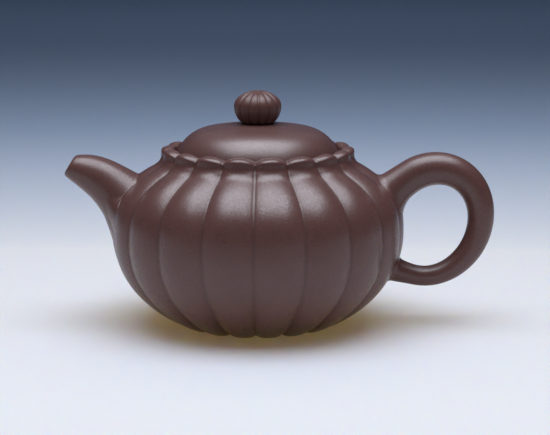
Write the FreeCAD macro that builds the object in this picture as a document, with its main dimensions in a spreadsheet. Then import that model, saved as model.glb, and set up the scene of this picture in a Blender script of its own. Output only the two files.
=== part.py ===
import FreeCAD, Part
import math
import os

import Sketcher
from FreeCAD import Placement, Rotation, Vector

# A lobed clay teapot with a lift-off lid. Millimetres and degrees, +Z up.
# The origin is on the pot's axis, on the plane it stands on. The spout points
# to -X and the handle to +X. Every size below is a cell of the sheet.
DIMENSIONS = {
    # Wall of the pot: crests and grooves of the lobes share their heights.
    "lobe_count": 18,
    "lobe_half_angle": 11.5,
    "belly_height": 43.5,
    "neck_height": 60.5,
    "crest_foot_radius": 27.3,
    "crest_belly_radius": 54,
    "crest_neck_radius": 35.4,
    "groove_foot_radius": 25,
    "groove_belly_radius": 52.4,
    "groove_neck_radius": 33,
    "foot_power": 0.763,
    "belly_power": 2.83,
    "shoulder_power": 1.63,
    # Level where the two halves of the wall are joined, below the spout's hole.
    "seam_height": 42,
    # Smooth hollow inside the wall.
    "cavity_floor": 4,
    "cavity_top": 58,
    "cavity_foot_radius": 25,
    "cavity_belly_radius": 49.5,
    "cavity_neck_radius": 30.5,
    # Disc that closes the bottom, set in above the resting ring.
    "base_radius": 22,
    "base_recess": 0.8,
    # Ledge of the mouth and the scalloped collar round it.
    "mouth_radius": 24,
    "collar_bore_radius": 30.4,
    "collar_waist_height": 62,
    "collar_crest_waist": 35,
    "collar_groove_waist": 32.8,
    "collar_crest_lip": 35.6,
    "collar_groove_lip": 33.2,
    "collar_peak_height": 65.5,
    "collar_notch_height": 64.2,
    # Spout: four control points of its upper edge and four of its underside.
    "spout_top_x0": -66, "spout_top_z0": 62,
    "spout_top_x1": -55.3, "spout_top_z1": 63.1,
    "spout_top_x2": -49.3, "spout_top_z2": 57.2,
    "spout_top_x3": -38, "spout_top_z3": 52,
    "spout_under_x0": -70.6, "spout_under_z0": 54.2,
    "spout_under_x1": -63.2, "spout_under_z1": 48,
    "spout_under_x2": -56, "spout_under_z2": 44.9,
    "spout_under_x3": -52, "spout_under_z3": 30,
    "spout_lip_wall": 1.5,
    "spout_root_wall": 2.8,
    "spout_hole_radius": 4.5,
    "spout_hole_depth": 18,
    # Pierced dome over the spout hole, inside the pot.
    "strainer_x": -46.8,
    "strainer_z": 47,
    "strainer_radius": 7,
    "strainer_wall": 1.6,
    "strainer_hole_radius": 0.8,
    "strainer_hole_pitch": 2.2,
    # Handle: the space between two leaning ellipses, in the XZ plane.
    "handle_lean": 26.6,
    "handle_outer_x": 63.3, "handle_outer_z": 38.5,
    "handle_outer_across": 22.5, "handle_outer_along": 25,
    "handle_inner_x": 64, "handle_inner_z": 36.3,
    "handle_inner_across": 12.7, "handle_inner_along": 15.9,
    "handle_tail_x": 46, "handle_tail_bottom": 15.8, "handle_tail_top": 26,
    # Lid: a dome of two tangent arcs on a flat ring, with a locating flange.
    "lid_edge_radius": 29.8,
    "lid_edge_height": 62.5,
    "lid_top_height": 74,
    "lid_crown_radius": 110,
    "lid_shoulder_radius": 15.7,
    "lid_wall": 3,
    "lid_ring_inner": 21,
    "flange_outer": 23.4,
    "flange_bottom": 54.5,
    "vent_radius": 1.2,
    # Ribbed knob: a flattened ball with a fuller lower half.
    "rib_count": 14,
    "rib_half_angle": 14.5,
    "knob_radius": 8.65,
    "knob_groove_radius": 8.2,
    "knob_waist_height": 80,
    "knob_upper_rise": 5.9,
    "knob_lower_drop": 9.6,
}

FULL_TURN = 360
QUARTER_TURN = 90
# A cutter reaches this far past what it cuts.
OVERLAP = 1
CUBIC_CENTIMETRE = 1000
# Shares of the way from the belly down to the foot, and up to the neck.
FOOT_SHARES = (1, 0.985, 0.95, 0.89, 0.8, 0.67, 0.5, 0.3, 0.13)
NECK_SHARES = (0, 0.12, 0.28, 0.46, 0.65, 0.83, 1)
# Latitudes of the knob's level sections, from its foot to its top.
KNOB_LATITUDES = (-50, -35, -18, 0, 20, 40, 58, 72, 82)
# Steps along the spout's edges and turns round the handle's ellipses.
SPOUT_STEPS = (0, 0.2, 0.4, 0.6, 0.8, 1)
HANDLE_TURNS = (186, 165, 143, 120, 95, 70, 45, 20, -5, -30, -55, -75)
# Rings of holes in the strainer: how many holes each has.
STRAINER_RINGS = (1, 6, 12)

doc = FreeCAD.newDocument("Teapot")
sheet = doc.addObject("Spreadsheet::Sheet", "Sheet")
for row, (alias, value) in enumerate(DIMENSIONS.items(), start=1):
    sheet.set(f"A{row}", alias)
    sheet.set(f"B{row}", str(value))
    sheet.setAlias(f"B{row}", alias)
doc.recompute()


def size(alias):
    """The expression that reads one cell of the sheet."""
    return f"Sheet.{alias}"


def new_body(label):
    body = doc.addObject("PartDesign::Body", label)
    body.Label = label
    return body


def origin_part(body, role):
    """One of the body's own origin planes or axes."""
    return next(part for part in body.Origin.OriginFeatures if part.Role == role)


def new_sketch(body, role, name):
    sketch = body.newObject("Sketcher::SketchObject", name)
    sketch.AttachmentSupport = [(origin_part(body, role), "")]
    sketch.MapMode = "FlatFace"
    return sketch


def bind(sketch, constraint, name, expression):
    """Add a named constraint to a sketch and bind it to the sheet."""
    index = sketch.addConstraint(constraint)
    sketch.renameConstraint(index, name)
    sketch.setExpression(f"Constraints.{name}", expression)


def level_sketch(body, name, height):
    """A sketch on a level plane at the given height."""
    sketch = new_sketch(body, "XY_Plane", name)
    sketch.setExpression("AttachmentOffset.Base.z", height)
    return sketch


def circle_at_centre(sketch, radius):
    start_radius = 10
    circle = sketch.addGeometry(Part.Circle(Vector(), Vector(0, 0, 1), start_radius))
    sketch.addConstraint(Sketcher.Constraint("Coincident", circle, 3, -1, 1))
    bind(sketch, Sketcher.Constraint("Radius", circle, start_radius), "radius", radius)


def loft(body, kind, name, sections):
    feature = body.newObject(f"PartDesign::{kind}", name)
    feature.Profile = sections[0]
    feature.Sections = sections[1:]
    doc.recompute()
    return feature


def polar_pattern(body, name, originals, count):
    pattern = body.newObject("PartDesign::PolarPattern", name)
    pattern.Originals = originals
    pattern.Axis = (origin_part(body, "Z_Axis"), [""])
    pattern.Angle = FULL_TURN
    pattern.setExpression("Occurrences", count)
    body.Tip = pattern
    doc.recompute()
    return pattern


# Lobed forms: one petal is lofted through level sections and repeated. Each
# section is a slice from the axis to a round arc, a little wider than its
# share of the turn, so that neighbours cross in a sharp groove.
def petal_section(body, name, height, crest, groove, count, half_angle):
    centre = (f"(({crest})^2 - ({groove})^2)"
              f" / (2 * (({crest}) - ({groove}) * cos(180 deg / {count})))")
    start_centre, start_radius, start_turn = 30, 10, 0.7
    arc_end = Vector(start_centre + start_radius * math.cos(start_turn),
                     start_radius * math.sin(start_turn), 0)
    arc_start = Vector(arc_end.x, -arc_end.y, 0)
    start_half_width = math.atan2(arc_end.y, arc_end.x)
    sketch = level_sketch(body, name, height)
    circle = Part.Circle(Vector(start_centre, 0, 0), Vector(0, 0, 1), start_radius)
    arc = sketch.addGeometry(Part.ArcOfCircle(circle, -start_turn, start_turn))
    upper = sketch.addGeometry(Part.LineSegment(Vector(), arc_end))
    lower = sketch.addGeometry(Part.LineSegment(Vector(), arc_start))
    sketch.addConstraint([
        Sketcher.Constraint("Coincident", upper, 1, -1, 1),
        Sketcher.Constraint("Coincident", lower, 1, -1, 1),
        Sketcher.Constraint("Coincident", upper, 2, arc, 2),
        Sketcher.Constraint("Coincident", lower, 2, arc, 1),
        Sketcher.Constraint("PointOnObject", arc, 3, -1),
        Sketcher.Constraint("Equal", upper, lower),
    ])
    bind(sketch, Sketcher.Constraint("Angle", upper, start_half_width), "half_width",
         f"{half_angle} * 1 deg")
    bind(sketch, Sketcher.Constraint("Radius", arc, start_radius), "lobe", f"({crest}) - {centre}")
    bind(sketch, Sketcher.Constraint("DistanceX", -1, 1, arc, 3, start_centre), "reach", centre)
    return sketch


def lobed_form(label, sections, count, half_angle):
    body = new_body(label)
    sketches = [petal_section(body, f"{label}_level_{index}", *section, count, half_angle)
                for index, section in enumerate(sections)]
    petal = loft(body, "AdditiveLoft", f"{label}_petal", sketches)
    polar_pattern(body, f"{label}_petals", [petal], count)
    return body


def wall_outline(foot, belly, neck, floor, top):
    """Heights and radii from the foot over the belly to the neck."""
    middle = size("belly_height")
    levels = []
    for share in FOOT_SHARES:
        height = f"{middle} - ({middle} - {floor}) * {share}"
        swell = f"(1 - {share}^{size('belly_power')})^{size('foot_power')}"
        levels.append((height, f"{foot} + ({belly} - {foot}) * {swell}"))
    for share in NECK_SHARES:
        height = f"{middle} + ({top} - {middle}) * {share}"
        swell = f"(1 - {share}^{size('shoulder_power')})"
        levels.append((height, f"{neck} + ({belly} - {neck}) * {swell}"))
    return levels


def make_lobed_solid():
    """The pot's outer form, filled: the wall, spout and handle are cut by it."""
    crests, grooves = [
        wall_outline(size(f"{line}_foot_radius"), size(f"{line}_belly_radius"),
                     size(f"{line}_neck_radius"), "0", size("neck_height"))
        for line in ("crest", "groove")]
    sections = [(height, crest, groove)
                for (height, crest), (_, groove) in zip(crests, grooves)]
    return lobed_form("lobed_solid", sections, size("lobe_count"), size("lobe_half_angle"))


def make_cavity():
    body = new_body("cavity")
    sketches = []
    outline = wall_outline(size("cavity_foot_radius"), size("cavity_belly_radius"),
                           size("cavity_neck_radius"), size("cavity_floor"), size("cavity_top"))
    for index, (height, radius) in enumerate(outline):
        sketch = level_sketch(body, f"cavity_level_{index}", height)
        circle_at_centre(sketch, radius)
        sketches.append(sketch)
    loft(body, "AdditiveLoft", "cavity_loft", sketches)
    return body


# Pieces made with whole solids.
def cylinder(name, radius, bottom, top):
    """An upright cylinder on the pot's axis."""
    solid = doc.addObject("Part::Cylinder", name)
    solid.setExpression("Radius", radius)
    solid.setExpression("Height", f"({top}) - ({bottom})")
    solid.setExpression("Placement.Base.z", bottom)
    return solid


def level_bore(name, radius, x, y, z, length):
    """A cylinder along +X from the given point."""
    solid = doc.addObject("Part::Cylinder", name)
    solid.Placement = Placement(Vector(), Rotation(Vector(0, 1, 0), QUARTER_TURN))
    solid.setExpression("Radius", radius)
    solid.setExpression("Height", length)
    for axis, place in zip("xyz", (x, y, z)):
        solid.setExpression(f"Placement.Base.{axis}", place)
    return solid


def cut(label, base, tool):
    result = doc.addObject("Part::Cut", label)
    result.Label = label
    result.Base = base
    result.Tool = tool
    return result


def common(label, base, tool):
    result = doc.addObject("Part::Common", label)
    result.Label = label
    result.Base = base
    result.Tool = tool
    return result


def joined(name, solids):
    result = doc.addObject("Part::MultiFuse", name)
    result.Shapes = solids
    return result


def make_wall_halves(lobed_solid, cavity):
    """The pressed lower bowl and the shoulder, which meet at the seam."""
    base_hole = cylinder("base_hole", size("base_radius"),
                         f"-{OVERLAP}", f"{size('cavity_floor')} + {OVERLAP}")
    neck_hole = cylinder("neck_hole", size("cavity_neck_radius"),
                         f"{size('cavity_top')} - {OVERLAP}", f"{size('neck_height')} + {OVERLAP}")
    spout_hole = level_bore("spout_hole", size("spout_hole_radius"),
                            f"-{size('crest_belly_radius')} - {OVERLAP}", "0", size("strainer_z"),
                            size("spout_hole_depth"))
    hollow = joined("hollow", [cavity, base_hole, neck_hole, spout_hole])
    wall = cut("wall", lobed_solid, hollow)
    reach = f"{size('crest_belly_radius')} + {OVERLAP}"
    below = cylinder("below_seam", reach, f"-{OVERLAP}", size("seam_height"))
    above = cylinder("above_seam", reach, size("seam_height"), f"{size('neck_height')} + {OVERLAP}")
    return [common("bowl_wall", wall, below), common("shoulder_wall", wall, above)]


def revolve(body, kind, sketch, name):
    feature = body.newObject(f"PartDesign::{kind}", name)
    feature.Profile = sketch
    feature.ReferenceAxis = (sketch, ["V_Axis"])
    feature.Angle = FULL_TURN
    doc.recompute()
    return feature


def make_ring(label, inner, outer, bottom, top):
    """A turned ring between four sizes of the sheet: a rectangle in the XZ plane, revolved."""
    body = new_body(label)
    sketch = new_sketch(body, "XZ_Plane", f"{label}_outline")
    left, right, low, high = [DIMENSIONS[alias] for alias in (inner, outer, bottom, top)]
    corners = [Vector(left, low, 0), Vector(right, low, 0), Vector(right, high, 0), Vector(left, high, 0)]
    sides = [sketch.addGeometry(Part.LineSegment(corner, corners[(index + 1) % len(corners)]))
             for index, corner in enumerate(corners)]
    floor, outside, roof, inside = sides
    sketch.addConstraint([Sketcher.Constraint("Coincident", side, 2, sides[(index + 1) % len(sides)], 1)
                          for index, side in enumerate(sides)])
    sketch.addConstraint([
        Sketcher.Constraint("Horizontal", floor),
        Sketcher.Constraint("Horizontal", roof),
        Sketcher.Constraint("Vertical", outside),
        Sketcher.Constraint("Vertical", inside),
    ])
    bind(sketch, Sketcher.Constraint("DistanceX", -1, 1, floor, 1, left), "inner", size(inner))
    bind(sketch, Sketcher.Constraint("DistanceX", -1, 1, floor, 2, right), "outer", size(outer))
    bind(sketch, Sketcher.Constraint("DistanceY", -1, 1, floor, 1, low), "bottom", size(bottom))
    bind(sketch, Sketcher.Constraint("DistanceY", -1, 1, roof, 1, high), "top", size(top))
    revolve(body, "Revolution", sketch, f"{label}_turned")
    return body


def make_base_disc():
    body = new_body("base_disc")
    sketch = level_sketch(body, "base_disc_outline", size("base_recess"))
    circle_at_centre(sketch, size("base_radius"))
    pad = body.newObject("PartDesign::Pad", "base_disc_pad")
    pad.Profile = sketch
    pad.setExpression("Length", f"{size('cavity_floor')} - {size('base_recess')}")
    return body


def make_collar():
    """Petals like the wall's, bored for the lid, with an arched top to each."""
    petals = [
        (size("neck_height"), size("crest_neck_radius"), size("groove_neck_radius")),
        (size("collar_waist_height"), size("collar_crest_waist"), size("collar_groove_waist")),
        (size("collar_peak_height"), size("collar_crest_lip"), size("collar_groove_lip")),
    ]
    body = lobed_form("scalloped_collar", petals, size("lobe_count"), size("lobe_half_angle"))

    bore_sketch = level_sketch(body, "collar_bore_outline", size("collar_peak_height"))
    circle_at_centre(bore_sketch, size("collar_bore_radius"))
    bore = body.newObject("PartDesign::Pocket", "collar_bore")
    bore.Profile = bore_sketch
    bore.Type = "ThroughAll"
    doc.recompute()

    # One petal's arch, seen along its own radius; the pocket takes what is above.
    # The bend is the radius of an arc with this half width and this lift.
    half_width = f"({size('collar_groove_lip')} * tan(180 deg / {size('lobe_count')}))"
    lift = f"({size('collar_peak_height')} - {size('collar_notch_height')})"
    bend = f"({half_width}^2 + {lift}^2) / (2 * {lift})"
    peak, notch = DIMENSIONS["collar_peak_height"], DIMENSIONS["collar_notch_height"]
    side = DIMENSIONS["collar_groove_lip"] * math.tan(math.pi / DIMENSIONS["lobe_count"])
    radius = (side**2 + (peak - notch) ** 2) / (2 * (peak - notch))
    roof_height = peak + side
    left, crown, right = Vector(-side, notch, 0), Vector(0, peak, 0), Vector(side, notch, 0)
    high_right, high_left = Vector(side, roof_height, 0), Vector(-side, roof_height, 0)
    sketch = new_sketch(body, "YZ_Plane", "collar_arch_outline")
    arch = sketch.addGeometry(Part.Arc(right, crown, left))
    rise = sketch.addGeometry(Part.LineSegment(right, high_right))
    roof = sketch.addGeometry(Part.LineSegment(high_right, high_left))
    fall = sketch.addGeometry(Part.LineSegment(high_left, left))
    sketch.addConstraint([
        Sketcher.Constraint("Coincident", arch, 1, rise, 1),
        Sketcher.Constraint("Coincident", rise, 2, roof, 1),
        Sketcher.Constraint("Coincident", roof, 2, fall, 1),
        Sketcher.Constraint("Coincident", fall, 2, arch, 2),
        Sketcher.Constraint("Vertical", rise),
        Sketcher.Constraint("Horizontal", roof),
        Sketcher.Constraint("Vertical", fall),
        Sketcher.Constraint("PointOnObject", arch, 3, -2),
    ])
    bind(sketch, Sketcher.Constraint("Radius", arch, radius), "bend", bend)
    bind(sketch, Sketcher.Constraint("DistanceY", -1, 1, arch, 3, peak - radius), "middle",
         f"{size('collar_peak_height')} - {bend}")
    bind(sketch, Sketcher.Constraint("DistanceX", -1, 1, rise, 2, side), "right", half_width)
    bind(sketch, Sketcher.Constraint("DistanceX", fall, 1, -1, 1, side), "left", half_width)
    bind(sketch, Sketcher.Constraint("DistanceY", -1, 1, roof, 1, roof_height), "roof",
         f"{size('collar_peak_height')} + {half_width}")
    pocket = body.newObject("PartDesign::Pocket", "collar_arch")
    pocket.Profile = sketch
    pocket.Type = "ThroughAll"
    pocket.Reversed = True
    doc.recompute()
    polar_pattern(body, "collar_arches", [pocket], size("lobe_count"))
    return body


# Spout and handle: round sections between an outer and an inner point, both
# in the XZ plane. Each section's plane holds the two points and the Y axis.
def round_section(body, name, outer, inner, trim="0"):
    (outer_x, outer_z), (inner_x, inner_z) = outer, inner
    run, climb = f"(({outer_x}) - ({inner_x}))", f"(({outer_z}) - ({inner_z}))"
    sketch = new_sketch(body, "XY_Plane", name)
    sketch.AttachmentOffset = Placement(Vector(), Rotation(Vector(0, 1, 0), QUARTER_TURN))
    sketch.setExpression("AttachmentOffset.Base.x", f"(({outer_x}) + ({inner_x})) / 2")
    sketch.setExpression("AttachmentOffset.Base.z", f"(({outer_z}) + ({inner_z})) / 2")
    sketch.setExpression("AttachmentOffset.Rotation.Angle", f"-atan2({climb}; {run})")
    circle_at_centre(sketch, f"sqrt({run}^2 + {climb}^2) / 2 - ({trim})")
    return sketch


def curve_point(edge, step):
    """A point of a cubic curve through the sheet's four control points."""
    rest = 1 - step
    weights = (rest**3, 3 * rest**2 * step, 3 * rest * step**2, step**3)
    return [" + ".join(f"{weight:.6f} * {size(f'{edge}_{axis}{index}')}"
                       for index, weight in enumerate(weights)) for axis in "xz"]


def make_spout(lobed_solid):
    body = new_body("spout_form")
    edges = [(curve_point("spout_top", step), curve_point("spout_under", step)) for step in SPOUT_STEPS]
    skins = [round_section(body, f"spout_skin_{index}", top, under)
             for index, (top, under) in enumerate(edges)]
    loft(body, "AdditiveLoft", "spout_skin", skins)
    bores = []
    for index, (step, (top, under)) in enumerate(zip(SPOUT_STEPS, edges)):
        lip, root = size("spout_lip_wall"), size("spout_root_wall")
        bores.append(round_section(body, f"spout_bore_{index}", top, under,
                                   f"{lip} + ({root} - {lip}) * {step}"))
    loft(body, "SubtractiveLoft", "spout_bore", bores)
    return cut("spout", body, lobed_solid)


def ellipse_point(edge, turn):
    """A point of a leaning ellipse of the handle; its long axis leans to +X."""
    lean = f"({size('handle_lean')} * 1 deg)"
    across = f"{size(f'handle_{edge}_across')} * cos({turn} deg)"
    along = f"{size(f'handle_{edge}_along')} * sin({turn} deg)"
    return (f"{size(f'handle_{edge}_x')} + {across} * cos{lean} + {along} * sin{lean}",
            f"{size(f'handle_{edge}_z')} - {across} * sin{lean} + {along} * cos{lean}")


def make_handle(lobed_solid):
    body = new_body("handle_form")
    sections = [round_section(body, f"handle_turn_{index}",
                              ellipse_point("outer", turn), ellipse_point("inner", turn))
                for index, turn in enumerate(HANDLE_TURNS)]
    tail_x = size("handle_tail_x")
    sections.append(round_section(body, "handle_tail", (tail_x, size("handle_tail_bottom")),
                                  (tail_x, size("handle_tail_top"))))
    loft(body, "AdditiveLoft", "handle_loft", sections)
    return cut("handle", body, lobed_solid)


def make_strainer(cavity):
    """Half a hollow ball against the wall, with rings of small holes."""
    def ball(name, radius):
        solid = doc.addObject("Part::Sphere", name)
        solid.Placement = Placement(Vector(), Rotation(Vector(0, 0, 1), FULL_TURN / 2))
        solid.setExpression("Radius", radius)
        solid.setExpression("Placement.Base.x", size("strainer_x"))
        solid.setExpression("Placement.Base.z", size("strainer_z"))
        return solid

    inner_radius = f"{size('strainer_radius')} - {size('strainer_wall')}"
    shell = cut("strainer_shell", ball("strainer_outer", size("strainer_radius")),
                ball("strainer_inner", inner_radius))
    holes = []
    for ring, count in enumerate(STRAINER_RINGS):
        for index in range(count):
            angle = f"{FULL_TURN * index / count:.1f} deg"
            offset = f"{ring} * {size('strainer_hole_pitch')}"
            holes.append(level_bore(
                f"strainer_hole_{ring}_{index}", size("strainer_hole_radius"), size("strainer_x"),
                f"{offset} * cos({angle})", f"{size('strainer_z')} + {offset} * sin({angle})",
                size("strainer_radius")))
    pierced = cut("strainer_pierced", shell, joined("strainer_holes", holes))
    return common("strainer_dome", pierced, cavity)


# The lid.
def dome_arcs(drop):
    """Centres of the crown's and the shoulder's arc, and the edge, once moved in by drop.

    The shoulder's centre is as far from the crown's as the two radii differ, and
    one shoulder radius from the edge: the outer crossing of two circles.
    """
    crown_radius, shoulder_radius = DIMENSIONS["lid_crown_radius"], DIMENSIONS["lid_shoulder_radius"]
    crown = Vector(0, DIMENSIONS["lid_top_height"] - crown_radius, 0)
    edge = Vector(DIMENSIONS["lid_edge_radius"] - drop, DIMENSIONS["lid_edge_height"], 0)
    apart = crown_radius - shoulder_radius
    reach = shoulder_radius - drop
    span = edge.distanceToPoint(crown)
    along = (apart**2 - reach**2 + span**2) / (2 * span)
    aside = math.sqrt(apart**2 - along**2)
    line = (edge - crown) / span
    shoulder = crown + line * along + Vector(-line.y, line.x, 0) * aside
    return crown, shoulder, edge


def dome_outline(body, name, drop):
    """Two tangent arcs from the axis to the edge, closed along the axis and below.

    The crown's centre is on the axis; the size named by drop moves both arcs in.
    """
    inset, inset_size = (DIMENSIONS[drop], size(drop)) if drop else (0, "0")
    crown_centre, shoulder_centre, flank = dome_arcs(inset)
    crown_radius = DIMENSIONS["lid_crown_radius"] - inset
    shoulder_radius = DIMENSIONS["lid_shoulder_radius"] - inset
    peak = Vector(0, DIMENSIONS["lid_top_height"] - inset, 0)
    foot = Vector(0, flank.y, 0)
    turn_way = shoulder_centre - crown_centre
    turn_angle = math.atan2(turn_way.y, turn_way.x)
    flank_way = flank - shoulder_centre
    flank_angle = math.atan2(flank_way.y, flank_way.x)
    upright = Vector(0, 0, 1)

    sketch = new_sketch(body, "XZ_Plane", name)
    crown = sketch.addGeometry(Part.ArcOfCircle(
        Part.Circle(crown_centre, upright, crown_radius), turn_angle, math.pi / 2))
    shoulder = sketch.addGeometry(Part.ArcOfCircle(
        Part.Circle(shoulder_centre, upright, shoulder_radius), flank_angle, turn_angle))
    floor = sketch.addGeometry(Part.LineSegment(foot, flank))
    axis = sketch.addGeometry(Part.LineSegment(peak, foot))
    sketch.addConstraint([
        Sketcher.Constraint("Tangent", shoulder, 2, crown, 1),
        Sketcher.Constraint("Coincident", crown, 2, axis, 1),
        Sketcher.Constraint("Coincident", axis, 2, floor, 1),
        Sketcher.Constraint("Coincident", floor, 2, shoulder, 1),
        Sketcher.Constraint("PointOnObject", crown, 3, -2),
        Sketcher.Constraint("Vertical", axis),
        Sketcher.Constraint("PointOnObject", axis, 1, -2),
        Sketcher.Constraint("Horizontal", floor),
    ])
    bind(sketch, Sketcher.Constraint("Radius", crown, crown_radius), "crown",
         f"{size('lid_crown_radius')} - {inset_size}")
    bind(sketch, Sketcher.Constraint("Radius", shoulder, shoulder_radius), "shoulder",
         f"{size('lid_shoulder_radius')} - {inset_size}")
    bind(sketch, Sketcher.Constraint("DistanceY", -1, 1, axis, 1, peak.y), "top",
         f"{size('lid_top_height')} - {inset_size}")
    bind(sketch, Sketcher.Constraint("DistanceY", -1, 1, floor, 2, flank.y), "low",
         size("lid_edge_height"))
    bind(sketch, Sketcher.Constraint("DistanceX", -1, 1, floor, 2, flank.x), "edge",
         f"{size('lid_edge_radius')} - {inset_size}")
    return sketch


def make_lid_dome(vent):
    """Returns the hollow dome and the filled one, which shapes the knob's foot."""
    filled = new_body("lid_filled")
    revolve(filled, "Revolution", dome_outline(filled, "lid_filled_outline", None), "lid_filled_turned")
    hollow = new_body("lid_hollow")
    revolve(hollow, "Revolution", dome_outline(hollow, "lid_outer_outline", None), "lid_outer_turned")
    revolve(hollow, "Groove", dome_outline(hollow, "lid_inner_outline", "lid_wall"), "lid_inner_turned")
    return cut("lid_dome", hollow, vent), filled


def make_knob(lid_filled, vent):
    waist = size("knob_waist_height")
    sections = []
    for latitude in KNOB_LATITUDES:
        reach = size("knob_upper_rise") if latitude > 0 else size("knob_lower_drop")
        height = f"{waist} + {reach} * sin({latitude} deg)"
        crest, groove = [f"{size(f'knob_{line}')} * cos({latitude} deg)"
                         for line in ("radius", "groove_radius")]
        sections.append((height, crest, groove))
    ribbed = lobed_form("knob_form", sections, size("rib_count"), size("rib_half_angle"))
    return cut("knob", ribbed, joined("knob_cut", [lid_filled, vent]))


lobed_solid = make_lobed_solid()
cavity = make_cavity()
vent = cylinder("vent", size("vent_radius"), size("lid_edge_height"),
                f"{size('knob_waist_height')} + {size('knob_radius')}")
lid_dome, lid_filled = make_lid_dome(vent)
nodes = [
    *make_wall_halves(lobed_solid, cavity),
    make_base_disc(),
    make_ring("mouth_ring", "mouth_radius", "cavity_neck_radius", "cavity_top", "neck_height"),
    make_collar(),
    make_spout(lobed_solid),
    make_strainer(cavity),
    make_handle(lobed_solid),
    lid_dome,
    make_ring("lid_seat_ring", "lid_ring_inner", "lid_edge_radius", "neck_height", "lid_edge_height"),
    make_ring("lid_flange", "lid_ring_inner", "flange_outer", "flange_bottom", "neck_height"),
    make_knob(lid_filled, vent),
]
doc.recompute()

for item in doc.Objects:
    if "Invalid" in item.State or "Error" in item.State:
        raise RuntimeError(f"{item.Label} failed: {item.State}")
for node in nodes:
    if node.Shape.isNull() or not node.Shape.isValid() or len(node.Shape.Solids) != 1:
        raise RuntimeError(f"{node.Label} is not one valid solid: {len(node.Shape.Solids)}")

os.makedirs("parts", exist_ok=True)
for node in nodes:
    node.Shape.exportStep(f"parts/{node.Label}.step")
    box = node.Shape.optimalBoundingBox()
    print(f"{node.Label}: {node.Shape.Volume / CUBIC_CENTIMETRE:.2f} cm3, "
          f"x {box.XMin:.1f} to {box.XMax:.1f}, y {box.YMin:.1f} to {box.YMax:.1f}, "
          f"z {box.ZMin:.1f} to {box.ZMax:.1f}")
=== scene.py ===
# %% [markdown]
# A lobed clay teapot, dressed in Blender.
# The pot is unglazed clay: eighteen lobes like the petals of a flower, a scalloped
# collar, a domed lid with a ribbed knob, a short spout and a loop handle.
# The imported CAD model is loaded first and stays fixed. Every piece made below is a
# surface worked out as whole arrays, in metres, in the same frame as the CAD: the
# spout points to -X, the handle to +X, the viewer stands at -Y and +Z is up.

import bpy
import numpy as np
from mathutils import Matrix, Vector


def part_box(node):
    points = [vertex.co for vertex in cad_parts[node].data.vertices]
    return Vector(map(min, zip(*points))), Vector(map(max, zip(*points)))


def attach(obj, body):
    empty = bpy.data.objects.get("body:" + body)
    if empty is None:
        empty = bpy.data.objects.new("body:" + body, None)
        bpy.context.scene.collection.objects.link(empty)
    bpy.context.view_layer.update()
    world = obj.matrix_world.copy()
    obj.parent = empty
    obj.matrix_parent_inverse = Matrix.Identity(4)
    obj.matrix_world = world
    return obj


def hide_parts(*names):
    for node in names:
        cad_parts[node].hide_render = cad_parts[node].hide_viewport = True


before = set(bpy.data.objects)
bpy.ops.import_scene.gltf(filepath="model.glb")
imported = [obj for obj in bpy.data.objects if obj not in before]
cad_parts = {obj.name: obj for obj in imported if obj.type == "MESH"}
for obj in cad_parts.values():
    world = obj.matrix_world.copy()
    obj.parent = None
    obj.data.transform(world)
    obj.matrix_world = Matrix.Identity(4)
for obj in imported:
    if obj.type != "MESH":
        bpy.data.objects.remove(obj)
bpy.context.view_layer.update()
MM = 0.001

# %% [markdown]
# The camera comes first, so that every later step can be compared with the
# photograph. It could be placed by hand; numbers keep it the same each time: ten degrees
# above level, and well back with a long lens, so that foot and mouth are close to the
# same ellipse. The lens is the distance in pixels to the picture, scaled to the sensor.

# %% Camera
VIEW_TURN, VIEW_RISE = np.radians(1.145), np.radians(10.012)
VIEW_DISTANCE = 0.648
VIEW_TARGET = np.array([6.3, 0, 39.02]) * MM
VIEW_NEAR, VIEW_FAR = 0.01, 20
LENS_PIXELS, PICTURE_WIDTH = 1762, 550

camera_data = bpy.data.cameras.new("photo_camera")
camera_data.lens = camera_data.sensor_width * LENS_PIXELS / PICTURE_WIDTH
camera_data.clip_start, camera_data.clip_end = VIEW_NEAR, VIEW_FAR
camera = bpy.data.objects.new("photo_camera", camera_data)
bpy.context.scene.collection.objects.link(camera)
towards_viewer = Vector((np.sin(VIEW_TURN) * np.cos(VIEW_RISE),
                         -np.cos(VIEW_TURN) * np.cos(VIEW_RISE), np.sin(VIEW_RISE)))
camera.location = Vector(VIEW_TARGET) + VIEW_DISTANCE * towards_viewer
camera.rotation_euler = towards_viewer.to_track_quat("Z", "Y").to_euler()
bpy.context.scene.camera = camera
print("lens:", round(camera_data.lens, 1), "mm")

# %% [markdown]
# Clay has a skin that runs on without an edge, so every piece here is a grid: rows
# follow an outline and columns go round it. It could also be pulled from a cube by hand,
# but a grid follows its formula exactly and is easy to change. One that closes both ways
# is a ring, such as the wall. One that ends in two points is a loaf, such as the handle.

# %% Faces of a grid
def grid_faces(rows, columns, with_ends):
    """Corner numbers of the faces of a grid whose columns go round: quads, and fans of triangles.

    Without ends the last row is joined to the first. With ends, the two points that
    come after the grid's own close its first and its last row with fans.
    """
    index = np.arange(rows * columns).reshape(rows, columns)
    beside = np.roll(index, -1, axis=1)
    above, beside_above = np.roll(index, -1, axis=0), np.roll(beside, -1, axis=0)
    quads = np.stack([index, beside, beside_above, above], axis=-1)
    if not with_ends:
        return quads.reshape(-1, 4), np.empty((0, 3), int)
    first_end, last_end = np.full((2, columns), [[index.size], [index.size + 1]])
    fans = np.concatenate([np.stack([beside[0], index[0], first_end], axis=-1),
                           np.stack([index[-1], beside[-1], last_end], axis=-1)])
    return quads[:-1].reshape(-1, 4), fans


def enclosed_volume(points, quads):
    """A sixth of the sum of the boxes that each half face's corners span with the origin."""
    first, second, third, fourth = [points[quads[:, corner]] for corner in range(4)]
    halves = np.einsum("ij,ij->i", first, np.cross(second, third))
    return (halves + np.einsum("ij,ij->i", first, np.cross(third, fourth))).sum() / 6


print("faces of a ring of 3 rows and 8 columns:", len(grid_faces(3, 8, False)[0]))

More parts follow.
